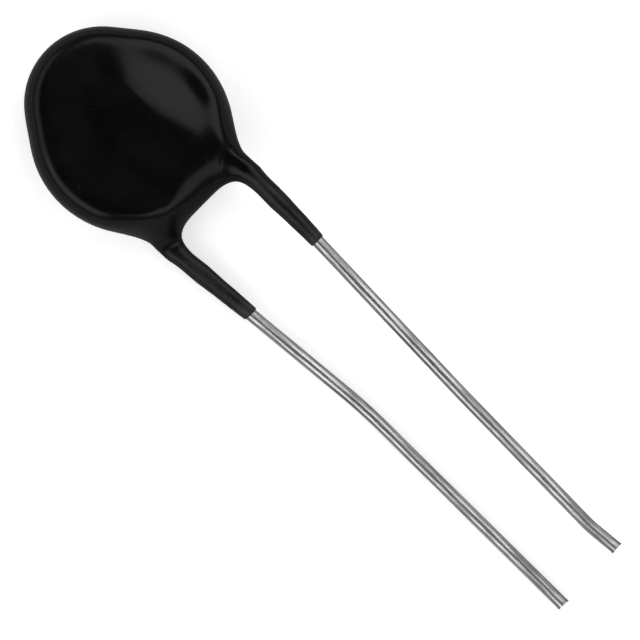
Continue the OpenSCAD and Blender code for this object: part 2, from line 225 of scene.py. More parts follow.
class Recipe(Nodes):
    """One material and its nodes."""

    def __init__(self, name: str) -> None:
        """Starts an empty material.

        Args:
            name: The material's name.
        """
        self.material = bpy.data.materials.new(name)
        super().__init__(self.material, "ShaderNodeOutputMaterial")

    def place(self) -> bpy.types.NodeSocket:
        """The point of the surface in the object's own frame, in metres."""
        return self.node("ShaderNodeTexCoord").outputs["Object"]

    def attribute(self, name: str) -> bpy.types.NodeSocket:
        """A vector that the piece's own mesh carries under that name."""
        return self.node("ShaderNodeAttribute", {"attribute_name": name}).outputs["Vector"]

    def parts(self, vector: bpy.types.NodeSocket) -> tuple[Amount, Amount, Amount]:
        """The three numbers of a vector."""
        made = self.node("ShaderNodeSeparateXYZ", {}, {0: vector})
        return tuple(Amount(self, made.outputs[i]) for i in range(3))

    def _read(
        self, vector: bpy.types.NodeSocket, pattern: Union[Clouds, Spots]
    ) -> dict[str, Any]:
        """Where a pattern is read, and at what scale.

        Args:
            vector: The point of the surface.
            pattern: The pattern, which may be stretched.

        Returns:
            The values of the texture's first sockets.
        """
        if pattern.stretch is not None:
            values = {"Vector": vector, "Scale": pattern.stretch}
            vector = self.node("ShaderNodeMapping", {}, values).outputs[0]
        return {"Vector": vector, "Scale": pattern.scale}

    def noise(self, vector: bpy.types.NodeSocket, pattern: Clouds) -> Amount:
        """Cloudy variation.

        Args:
            vector: Where the pattern is read.
            pattern: How its clouds look.

        Returns:
            A number about 0.5, from 0 to 1.
        """
        values = self._read(vector, pattern)
        values |= {"Detail": pattern.detail, "Roughness": pattern.rough, "Distortion": pattern.warp}
        return Amount(self, self.node("ShaderNodeTexNoise", {}, values).outputs["Fac"])

    def specks(self, vector: bpy.types.NodeSocket, pattern: Spots) -> Amount:
        """Small round spots, 1 at their middle.

        Args:
            vector: Where the pattern is read.
            pattern: How its spots look.

        Returns:
            A number from 0 to 1.
        """
        made = self.node("ShaderNodeTexVoronoi", {}, self._read(vector, pattern))
        away = Amount(self, made.outputs["Distance"])
        return away.between(pattern.size, pattern.core * pattern.size)

    def blend(self, share: Value, first: Any, second: Any) -> bpy.types.NodeSocket:
        """Mixes two colours.

        Args:
            share: How much of the second colour, from 0 to 1.
            first: A colour or a link.
            second: A colour or a link.

        Returns:
            The mixed colour's socket.
        """
        made = self.node("ShaderNodeMix", {"data_type": "RGBA"}, {0: share, 6: first, 7: second})
        return made.outputs[2]

    def bump(
        self, height: Amount, relief: Relief, under: bpy.types.NodeSocket | None = None
    ) -> bpy.types.NodeSocket:
        """Turns a height into a bent normal.

        Args:
            height: The height, from 0 to 1.
            relief: How deep it goes.
            under: The normal of a coarser bump that this one lies on.

        Returns:
            The normal's socket.
        """
        values = {"Height": height, "Distance": relief.height, "Strength": relief.strength}
        if under is not None:
            values["Normal"] = under
        return self.node("ShaderNodeBump", {}, values).outputs["Normal"]

    def surface(self, values: dict[str, Any]) -> bpy.types.Material:
        """Finishes the material with one shader.

        Args:
            values: The shader's sockets, by name.

        Returns:
            The finished material.
        """
        self.shine(self.node("ShaderNodeBsdfPrincipled", {}, values))
        return self.material


# ---- finishes


class Finish(Protocol):
    """Any finish that a piece can be dressed in."""

    def build(self) -> bpy.types.Material:
        """Makes the material."""


@dataclass(frozen=True)
class DippedCoat:
    """Black cured resin: glossy and level on the disc, duller and greyer on the legs.

    The names that end in over are spans in which one look gives way to the next: along the leads
    in the part's frame, by how steep the coat stands, or by the strength of a pattern.
    """

    deep: Colour = (0.0014, 0.0013, 0.0012)
    worn: Colour = (0.0032, 0.0030, 0.0028)
    leg: Colour = (0.0095, 0.0093, 0.0086)
    leg_pale: Colour = (0.0215, 0.0212, 0.0200)
    leg_end: Colour = (0.0300, 0.0302, 0.0288)
    dust: Colour = (0.0400, 0.0410, 0.0420)
    leg_over: Span = (-11.9 * MM, -10.3 * MM)
    thin_over: Span = (-5.4 * MM, -4.1 * MM)
    wall_over: Span = (0.12, 0.5)
    worn_over: Span = (0.42, 0.75)
    pale_over: Span = (0.40, 0.64)
    dull_over: Span = (0.35, 0.7)
    clouds: Clouds = Clouds(320.0, 4.0, 0.55, 0.4)
    peel: Clouds = Clouds(900.0, 2.0, 0.4)
    grain: Clouds = Clouds(5000.0, 3.0, 0.6)
    runs: Clouds = Clouds(rough=0.55, stretch=(350.0, 2400.0, 2400.0))
    specks: Spots = Spots(0.055, 900.0)
    run_share: float = 0.6
    dust_share: float = 0.6
    rough: float = 0.19
    rough_clouds: float = 0.07
    rough_specks: float = 0.2
    rough_wall: float = 0.34
    rough_leg: float = 0.20
    rough_runs: float = 0.16
    coarse: Relief = Relief(0.020 * MM, 0.7)
    fine: Relief = Relief(0.006 * MM)
    cloud_height: float = 0.8
    grain_height: float = 0.35
    leg_grain_height: float = 4.0
    run_height: float = 4.5
    index: float = 1.5
    sheen: float = 0.01
    gloss: float = 0.28
    polish: float = 0.25
    wall_loss: float = 0.65
    leg_loss: float = 0.25

    def build(self) -> bpy.types.Material:
        """Makes the material.

        Returns:
            The finished material.
        """
        r = Recipe("dipped_coat")
        place = r.place()
        x = r.parts(place)[0]
        leg = x.between(*self.leg_over)
        thin = x.between(*self.thin_over)
        wall = r.parts(r.attribute("wall"))[0].between(*self.wall_over)
        clouds = r.noise(place, self.clouds)
        peel = r.noise(place, self.peel)
        grain = r.noise(place, self.grain)
        runs = r.noise(place, self.runs)
        specks = r.specks(place, self.specks)
        disc = r.blend(clouds.between(*self.worn_over), self.deep, self.worn)
        streaks = runs * self.run_share + grain * (1.0 - self.run_share)
        legs = r.blend(streaks.between(*self.pale_over), self.leg, self.leg_pale)
        legs = r.blend(thin, legs, self.leg_end)
        base = r.blend(specks * self.dust_share, r.blend(leg, disc, legs), self.dust)
        dull = clouds.between(*self.dull_over)
        even = self.rough + self.rough_clouds * dull + self.rough_specks * specks
        on_leg = leg * (self.rough_leg + self.rough_runs * runs)
        coarse = r.bump(peel + clouds * self.cloud_height, self.coarse)
        grit = grain * (self.grain_height + leg * self.leg_grain_height)
        fine = r.bump(grit + runs * leg * self.run_height, self.fine, coarse)
        gloss = self.gloss * (1.0 - self.wall_loss * wall) * (1.0 - self.leg_loss * leg)
        return r.surface(
            {
                "Base Color": base,
                "Roughness": even + (1.0 - leg) * wall * self.rough_wall + on_leg,
                "Normal": fine,
                "IOR": self.index,
                "Specular IOR Level": self.sheen,
                "Coat Weight": gloss,
                "Coat IOR": self.index,
                "Coat Roughness": self.polish,
            }
        )


@dataclass(frozen=True)
class TinnedWire:
    """Drawn wire with a thin coat of tin: long streaks, painted shade along its flanks, a dull cut
    end.

    The patterns follow the wire as it lay before it was bent. The copper shows at the cut within
    core_over, which is a span of the squared distance from the wire's middle.
    """

    tip: float
    radius: float = 0.5 * MM
    bright: Colour = (0.47, 0.48, 0.475)
    grey: Colour = (0.22, 0.225, 0.218)
    # Dark colour of the pits, and also of the painted shade laid along both flanks.
    line: Colour = (0.080, 0.082, 0.079)
    copper: Colour = (0.33, 0.25, 0.20)
    streaks: Clouds = Clouds(detail=5.0, rough=0.62, stretch=(240.0, 5200.0, 5200.0))
    threads: Clouds = Clouds(rough=0.6, stretch=(900.0, 15000.0, 15000.0))
    drift: Clouds = Clouds(rough=0.55, stretch=(260.0, 1300.0, 1300.0))
    pits: Spots = Spots(0.22, stretch=(1300.0, 3800.0, 3800.0))
    # Painted shade: the span of the squared distance across the wire, as part of the radius
    # squared, over which the flanks darken.
    flank_over: Span = (0.31, 0.50)
    dull_over: Span = (0.44, 0.62)
    # The streaks that break up the painted shade on the flanks.
    line_over: Span = (0.35, 0.6)
    pit_over: Span = (0.4, 0.7)
    core_over: Span = (0.20e-6, 0.14e-6)
    cut_from: float = 0.10 * MM
    cut_full: float = 0.02 * MM
    streak_share: float = 0.65
    # How much painted shade the flanks keep between streaks, and how strong it is.
    line_least: float = 0.72
    line_share: float = 0.9
    pit_share: float = 0.6
    rough: float = 0.23
    rough_dull: float = 0.22
    rough_threads: float = 0.10
    rough_cut: float = 0.15
    # How much less metallic the painted shade on the flanks makes the wire.
    metal_loss: float = 0.25
    coarse: Relief = Relief(0.030 * MM)
    fine: Relief = Relief(0.004 * MM, 0.9)
    pit_depth: float = 0.8

    def build(self) -> bpy.types.Material:
        """Makes the material.

        Returns:
            The finished material.
        """
        r = Recipe("tinned_wire_" + str(round(self.tip / MM)))
        straight = r.attribute("straight")
        along, side, up = r.parts(straight)
        streaks = r.noise(straight, self.streaks)
        threads = r.noise(straight, self.threads)
        drift = r.noise(straight, self.drift)
        pits = r.specks(straight, self.pits)
        # Painted shade: both flanks of the wire as it lies are darkened and made less metallic,
        # broken up by streaks.
        flank_shade = (side * side / (self.radius * self.radius)).between(*self.flank_over)
        dull = streaks * self.streak_share + drift * (1.0 - self.streak_share)
        dull = dull.between(*self.dull_over)
        lines = streaks.between(*self.line_over)
        painted_flank_shade = flank_shade * (self.line_least + (1.0 - self.line_least) * lines)
        base = r.blend(dull, self.bright, self.grey)
        base = r.blend(painted_flank_shade * self.line_share, base, self.line)
        base = r.blend(pits * drift.between(*self.pit_over) * self.pit_share, base, self.line)
        cut = along.between(self.tip - self.cut_from, self.tip - self.cut_full)
        core = (side * side + up * up).between(*self.core_over)
        base = r.blend(cut * core, base, self.copper)
        rough = self.rough + self.rough_dull * dull + self.rough_threads * threads
        coarse = r.bump(streaks + drift, self.coarse)
        return r.surface(
            {
                "Base Color": base,
                # Less metallic where the painted shade on the flanks lies.
                "Metallic": 1.0 - self.metal_loss * painted_flank_shade,
                "Roughness": rough + self.rough_cut * cut,
                "Normal": r.bump(threads - pits * self.pit_depth, self.fine, coarse),
            }
        )


@dataclass(frozen=True)
class FiredCeramic:
    """Dark sintered oxide, matt and faintly grainy."""

    dark: Colour = (0.050, 0.042, 0.036)
    pale: Colour = (0.100, 0.088, 0.076)
    grain: Clouds = Clouds(9000.0, 4.0, 0.6)
    clouds: Clouds = Clouds(700.0)
    grain_share: float = 0.5
    pale_over: Span = (0.38, 0.62)
    rough: float = 0.62
    rough_grain: float = 0.2
    relief: Relief = Relief(0.010 * MM)

    def build(self) -> bpy.types.Material:
        """Makes the material.

        Returns:
            The finished material.
        """
        r = Recipe("fired_ceramic")
        place = r.place()
        grain = r.noise(place, self.grain)
        clouds = r.noise(place, self.clouds)
        pale = grain * self.grain_share + clouds * (1.0 - self.grain_share)
        return r.surface(
            {
                "Base Color": r.blend(pale.between(*self.pale_over), self.dark, self.pale),
                "Roughness": self.rough + self.rough_grain * grain,
                "Normal": r.bump(grain, self.relief),
            }
        )


@dataclass(frozen=True)
class FiredSilver:
    """Screen-printed silver, burnt on: pale, with a weave of small pores."""

    pale: Colour = (0.74, 0.73, 0.70)
    tarnish: Colour = (0.46, 0.43, 0.38)
    clouds: Clouds = Clouds(500.0, 4.0, 0.6)
    pores: Spots = Spots(0.26, 5200.0)
    tarnish_over: Span = (0.48, 0.72)
    pore_share: float = 0.5
    pore_depth: float = 0.7
    rough: float = 0.42
    rough_clouds: float = 0.2
    relief: Relief = Relief(0.006 * MM)

    def build(self) -> bpy.types.Material:
        """Makes the material.

        Returns:
            The finished material.
        """
        r = Recipe("fired_silver")
        place = r.place()
        clouds = r.noise(place, self.clouds)
        pores = r.specks(place, self.pores)
        base = r.blend(clouds.between(*self.tarnish_over), self.pale, self.tarnish)
        return r.surface(
            {
                "Base Color": r.blend(pores * self.pore_share, base, self.tarnish),
                "Metallic": 1.0,
                "Roughness": self.rough + self.rough_clouds * clouds,
                "Normal": r.bump(clouds - pores * self.pore_depth, self.relief),
            }
        )


@dataclass(frozen=True)
class SolderBead:
    """Solder that ran along the wire and froze with slight ripples."""

    bright: Colour = (0.62, 0.63, 0.64)
    dull: Colour = (0.38, 0.39, 0.40)
    ripples: Clouds = Clouds(warp=0.6, stretch=(2600.0, 900.0, 900.0))
    grain: Clouds = Clouds(6000.0)
    dull_over: Span = (0.4, 0.65)
    rough: float = 0.24
    rough_grain: float = 0.22
    grain_height: float = 0.4
    relief: Relief = Relief(0.012 * MM)

    def build(self) -> bpy.types.Material:
        """Makes the material.

        Returns:
            The finished material.
        """
        r = Recipe("solder_bead")
        place = r.place()
        ripples = r.noise(place, self.ripples)
        grain = r.noise(place, self.grain)
        return r.surface(
            {
                "Base Color": r.blend(ripples.between(*self.dull_over), self.bright, self.dull),
                "Metallic": 1.0,
                "Roughness": self.rough + self.rough_grain * grain,
                "Normal": r.bump(ripples + grain * self.grain_height, self.relief),
            }
        )


@dataclass(frozen=True)
class PaleFloor:
    """White card. Rays that look at it see it lifted to white, and it keeps the soft shadow."""

    card: Colour = (0.80, 0.80, 0.80)
    tooth_card: Colour = (0.785, 0.786, 0.788)
    tooth: Clouds = Clouds(260.0, 4.0, 0.6)
    tooth_over: Span = (0.3, 0.7)
    lift: float = 0.52

    def build(self) -> bpy.types.Material:
        """Makes the material.

        Returns:
            The finished material.
        """
        r = Recipe("pale_floor")
        tooth = r.noise(r.place(), self.tooth).between(*self.tooth_over)
        base = r.blend(tooth, self.card, self.tooth_card)
        card = r.node("ShaderNodeBsdfDiffuse", {}, {"Color": base}).outputs[0]
        glow = r.node("ShaderNodeEmission", {}, {"Color": WHITE, "Strength": self.lift})
        lifted = r.node("ShaderNodeAddShader", {}, {0: card, 1: glow.outputs[0]}).outputs[0]
        path = r.node("ShaderNodeLightPath")
        looked_at = (
            Amount(r, path.outputs["Is Camera Ray"])
            + Amount(r, path.outputs["Is Glossy Ray"])
            + Amount(r, path.outputs["Is Transmission Ray"])
        )
        r.shine(r.node("ShaderNodeMixShader", {}, {0: looked_at, 1: card, 2: lifted}))
        return r.material


# ---- modelling kit


def begin() -> None:
    """Deselects everything before a primitive is added."""
    bpy.ops.object.select_all(action="DESELECT")


def alone(piece: bpy.types.Object) -> None:
    """Deselects everything, then selects one piece and makes it the active one.

    Args:
        piece: The piece that operators are to act on.
    """
    begin()
    piece.select_set(True)
    bpy.context.view_layer.objects.active = piece


def newest(name: str) -> bpy.types.Object:
    """Names the primitive that was just added, and its mesh.

    Args:
        name: The name for both.

    Returns:
        The new piece.
    """
    piece = bpy.context.active_object
    piece.name = name
    piece.data.name = name
    return piece


class Editing:
    """Edit mode on one piece, with points, edges and faces selected by their place."""

    def __init__(self, piece: bpy.types.Object) -> None:
        """Keeps the piece until the block starts."""
        self.piece = piece

    def __enter__(self) -> "Editing":
        """Opens edit mode with nothing selected.

        Returns:
            The block's own handle.
        """
        alone(self.piece)
        bpy.ops.object.mode_set(mode="EDIT")
        bpy.ops.mesh.select_mode(type="VERT")
        bpy.ops.mesh.select_all(action="DESELECT")
        return self

    def __exit__(self, *_: Any) -> None:
        """Leaves edit mode."""
        bpy.ops.object.mode_set(mode="OBJECT")

    def points(self, test: Callable[[Vector], bool]) -> None:
        """Selects the points whose place passes a test, and no others."""
        self._pick("VERT", lambda mesh: ((v, test(v.co)) for v in mesh.verts))

    def edges(self, test: Callable[[Vector, Vector], bool]) -> None:
        """Selects the edges whose two ends pass a test, and no others."""
        self._pick(
            "EDGE", lambda mesh: ((e, test(e.verts[0].co, e.verts[1].co)) for e in mesh.edges)
        )

    def faces(self, test: Callable[[Vector, Vector], bool]) -> None:
        """Selects the faces whose middle and normal pass a test, and no others."""
        self._pick(
            "FACE", lambda mesh: ((f, test(f.calc_center_median(), f.normal)) for f in mesh.faces)
        )

    def _pick(self, mode: str, pairs: Callable[[bmesh.types.BMesh], Iterable]) -> None:
        """Selects elements in one select mode.

        Args:
            mode: VERT, EDGE or FACE.
            pairs: Gives each element of that kind with whether it is wanted.
        """
        bpy.ops.mesh.select_mode(type=mode)
        bpy.ops.mesh.select_all(action="DESELECT")
        mesh = bmesh.from_edit_mesh(self.piece.data)
        for element in [element for element, wanted in pairs(mesh) if wanted]:
            element.select_set(True)
        mesh.select_flush_mode()
        bmesh.update_edit_mesh(self.piece.data)


def modified(piece: bpy.types.Object, kind: str, **settings: Any) -> None:
    """Adds a modifier and applies it.

    Args:
        piece: The piece to change.
        kind: The modifier's type.
        **settings: What is set on it.
    """
    alone(piece)
    made = piece.modifiers.new(kind.lower(), kind)
    for key, value in settings.items():
        setattr(made, key, value)
    bpy.ops.object.modifier_apply(modifier=made.name)


def noted(piece: bpy.types.Object, name: str, values: Iterable[Point]) -> None:
    """Notes a vector for each point of a piece, for its finish to read.

    Args:
        piece: The piece that carries them.
        name: The attribute's name.
        values: A vector for each point, in order.
    """
    store = piece.data.attributes.new(name, "FLOAT_VECTOR", "POINT")
    store.data.foreach_set("vector", [number for value in values for number in value])


def weighted(piece: bpy.types.Object, name: str, shares: Iterable[tuple[int, float]]) -> None:
    """Adds a vertex group, which says how much of a modifier each point gets.

    Args:
        piece: The piece.
        name: The group's name.
        shares: Points with their shares, from 0 to 1.
    """
    group = piece.vertex_groups.new(name=name)
    for index, share in shares:
        group.add([index], share, "REPLACE")


def smoothed(piece: bpy.types.Object, degrees: float) -> None:
    """Shades a piece smooth, apart from edges sharper than an angle."""
    alone(piece)
    bpy.ops.object.shade_smooth_by_angle(angle=math.radians(degrees))


def dressed(piece: bpy.types.Object, finish: Finish) -> None:
    """Gives a piece one finish, in place of any that it has.

    Args:
        piece: The piece to dress.
        finish: Its finish.
    """
    material = finish.build()
    piece.data.materials.clear()
    piece.data.materials.append(material)
    for face in piece.data.polygons:
        face.material_index = 0


# ---- pieces


@dataclass(frozen=True)
class Lie:
    """How the part lies on its back: from the level disc's frame to the part's own."""

    middle: float = 20.0651 * MM
    lift: float = 2.83693 * MM
    up: Point = (-0.00697843, -0.0964939, 0.995309)

    def matrix(self) -> Matrix:
        """The move that lays a level piece down, with its way up turned to point straight up."""
        turn = Vector(self.up).rotation_difference(Vector((0.0, 0.0, 1.0)))
        return Matrix.Translation((-self.middle, 0.0, self.lift)) @ turn.to_matrix().to_4x4()


LIE = Lie()


class Face(Enum):
    """Which face of the disc a lead is soldered to: its sign along the disc's axis."""

    FRONT = 1.0
    REAR = -1.0


@dataclass(frozen=True)
class Corner:
    """A corner of a lead's route, which a bend rounds off. Millimetres, level disc's frame."""

    x: float
    y: float
    bend: float = 0.0


@dataclass(frozen=True)
class WireLead:
    """A tinned wire, modelled straight with its cut end, and then bent along its route.

    Attributes:
        name: The node that it stands for.
        face: The face of the disc that it is soldered to.
        corners: Its route, seen along the disc's axis.
        lie: How the part lies.
        radius: The wire's radius. This and all that follow are in millimetres, where not said.
        level: How far its middle line lies from the middle of the disc.
        sides: Sides of its round section.
        ring_step: Distance between its rings.
        arc_step: Distance between the points of a bend.
        arc_least: The fewest steps of a bend.
        end_on: How nearly a face looks along the wire where it belongs to an end, up to 1.
        inner_round: Rounding of the end inside the coat.
        tip_rings: Where rings are cut close to the tip, back from it.
        tip_insets: Rings that are drawn inwards on the cut face.
        face_depth: How far back from the tip a point still belongs to the cut face.
        dish: How deep the middle of the cut face lies.
        dish_radius: The reach of that middle.
        nips: From where back the cutters squeezed the tip, and how much of the squeeze it has.
        squeeze: How much wider and flatter the tip is in the end, as a part of its width.
        notch: How far the cutters pressed the middle of the tip back.
        notch_half: Half the width of that notch.
        notch_depth: From how far back the tip is pressed there.
        slant: How far one side of the tip stays behind the other.
        slant_from: Where that side starts, off the middle.
        slant_depth: From how far back it stays behind.
        crease: The angle of the sharpest edge that is shaded smooth, in degrees.
    """

    name: str
    face: Face
    corners: tuple[Corner, ...]
    lie: Lie = LIE
    radius: float = 0.5
    level: float = 2.21
    sides: int = 48
    ring_step: float = 0.5
    arc_step: float = 0.15
    arc_least: int = 4
    end_on: float = 0.9
    inner_round: float = 0.08
    tip_rings: tuple[float, ...] = (0.30, 0.12, 0.04)
    tip_insets: tuple[float, ...] = (0.10, 0.16)
    face_depth: float = 0.01
    dish: float = 0.03
    dish_radius: float = 0.41
    nips: tuple[tuple[float, float], ...] = ((0.40, 0.35), (0.15, 0.75), (0.05, 1.0))
    squeeze: float = 0.0275
    notch: float = 0.0525
    notch_half: float = 0.30
    notch_depth: float = 0.065
    slant: float = 0.0375
    slant_from: float = 0.25
    slant_depth: float = 0.205
    crease: float = 35.0

    def route(self) -> list[Vector]:
        """The wire's middle line.

        Returns:
            Points in millimetres, with the bends rounded off as arcs.
        """
        line = [Vector((c.x, c.y)) for c in self.corners]
        points = [line[0]]
        for before, here, after, corner in zip(line, line[1:], line[2:], self.corners[1:]):
            coming = (here - before).normalized()
            going = (after - here).normalized()
            turn = -coming.angle_signed(going)
            first = here - coming * corner.bend * math.tan(abs(turn) / 2.0)
            hand = math.copysign(1.0, turn)
            centre = first + hand * corner.bend * Vector((-coming.y, coming.x))
            steps = max(self.arc_least, int(abs(turn) * corner.bend / self.arc_step))
            for step in range(steps + 1):
                spoke = (first - centre).to_3d()
                spoke.rotate(Matrix.Rotation(turn * step / steps, 3, "Z"))
                points.append(centre + spoke.to_2d())
        points.append(line[-1])
        return points

    def length(self) -> float:
        """The wire's length along its route, in millimetres."""
        points = self.route()
        return sum((b - a).length for a, b in zip(points, points[1:]))

    def straight(self) -> bpy.types.Object:
        """Models the wire lying straight along X, with a rounded inner end and a sheared tip.

        Returns:
            The piece, which carries each point's place as the attribute straight.
        """
        long = self.length() * MM
        begin()
        bpy.ops.mesh.primitive_cylinder_add(
            vertices=self.sides,
            radius=self.radius * MM,
            depth=long,
            location=(long / 2.0, 0.0, 0.0),
            rotation=(0.0, math.pi / 2.0, 0.0),
        )
        piece = newest(self.name + "_wire")
        bpy.ops.object.transform_apply(location=True, rotation=True, scale=True)
        with Editing(piece) as edit:
            edit.edges(lambda a, b: abs(a.x - b.x) > long / 2.0)
            bpy.ops.mesh.subdivide(number_cuts=int(self.length() / self.ring_step))
            edit.faces(lambda c, n: n.x < -self.end_on)
            bpy.ops.mesh.bevel(offset=self.inner_round * MM, segments=2, affect="EDGES")
            for back in self.tip_rings:
                edit.points(lambda co: True)
                bpy.ops.mesh.bisect(plane_co=(long - back * MM, 0, 0), plane_no=(1, 0, 0))
            edit.faces(lambda c, n: n.x > self.end_on)
            for inset in self.tip_insets:
                bpy.ops.mesh.inset(thickness=inset * MM)
            self._shear(edit)
        noted(piece, "straight", [tuple(v.co) for v in piece.data.vertices])
        return piece

    def _shear(self, edit: Editing) -> None:
        """Shapes the tip as cutters leave it: dished, nipped wider, with its corners drawn out.

        Args:
            edit: Edit mode on the wire.
        """
        long = self.length() * MM
        self._push_back(edit, self.dish, self.face_depth, lambda y, r: r < self.dish_radius)
        for back, share in self.nips:
            edit.points(lambda co: co.x > long - back * MM)
            wide = 1.0 + self.squeeze * share
            bpy.ops.transform.resize(value=(1.0, wide, 2.0 - wide), center_override=(long, 0, 0))
        self._push_back(edit, self.notch, self.notch_depth, lambda y, r: abs(y) < self.notch_half)
        self._push_back(edit, self.slant, self.slant_depth, lambda y, r: y < -self.slant_from)

    def _push_back(
        self, edit: Editing, by: float, depth: float, test: Callable[[float, float], bool]
    ) -> None:
        """Pushes some points of the tip back along the wire.

        Args:
            edit: Edit mode on the wire.
            by: How far.
            depth: How far back from the tip the points may lie.
            test: Takes a point's place across the wire and its distance from the middle.
        """
        start = (self.length() - depth) * MM
        edit.points(lambda co: co.x > start and test(co.y / MM, co.yz.length / MM))
        bpy.ops.transform.translate(value=(-by * MM, 0.0, 0.0))

    def bend(self, piece: bpy.types.Object) -> None:
        """Bends the straight wire along its route and lays it down with the disc.

        Args:
            piece: The straight wire.
        """
        points = self.route()
        begin()
        bpy.ops.curve.primitive_nurbs_path_add()
        guide = bpy.context.active_object
        guide.data.splines.clear()
        guide.data.twist_mode = "Z_UP"
        guide.data.dimensions = "3D"
        spline = guide.data.splines.new("POLY")
        spline.points.add(len(points) - 1)
        for target, point in zip(spline.points, points):
            target.co = (point.x * MM, point.y * MM, 0.0, 1.0)
        modified(piece, "CURVE", object=guide, deform_axis="POS_X")
        bpy.data.objects.remove(guide)
        raised = Matrix.Translation((0.0, 0.0, self.face.value * self.level * MM))
        piece.matrix_world = self.lie.matrix() @ raised
        alone(piece)
        bpy.ops.object.transform_apply(location=True, rotation=True, scale=True)

    def build(self) -> None:
        """Models, bends and dresses the wire, which stands for the node of its name."""
        piece = self.straight()
        self.bend(piece)
        smoothed(piece, self.crease)
        dressed(piece, TinnedWire(tip=self.length() * MM))
        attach(piece, "root")
        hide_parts(self.name)
        LOG.info("%s: %.1f mm long, %d faces", piece.name, self.length(), len(piece.data.polygons))


@dataclass(frozen=True)
class Swell:
    """A broad place on the front face where the coat set a little higher, in millimetres.

    Attributes:
        name: Its name.
        turn: Its bearing in degrees, 0 along the leads and more towards the front one.
        out: How far it lies from the disc's centre.
        long: How far it reaches each way round the disc.
        wide: How far it reaches each way across.
        rise: How high it stands.
    """

    name: str
    turn: float
    out: float
    long: float
    wide: float
    rise: float

    def share(self, spot: Vector) -> float:
        """How much of the rise a point gets.

        Args:
            spot: Where it lies from the disc's centre, seen from above.

        Returns:
            A number from 0 at the edge of the swell to 1 in its middle.
        """
        around = math.atan2(spot.y, spot.x) - math.radians(self.turn)
        along = around * self.out / self.long
        across = (spot.length - self.out) / self.wide
        return 0.5 + 0.5 * math.cos(math.pi * min(1.0, math.hypot(along, across)))


@dataclass(frozen=True)
class Lumps:
    """How the coat dipped in as it set: the lumps' size, their noise's layers and their depth."""

    name: str
    size: float
    depth: float
    layers: int = 2


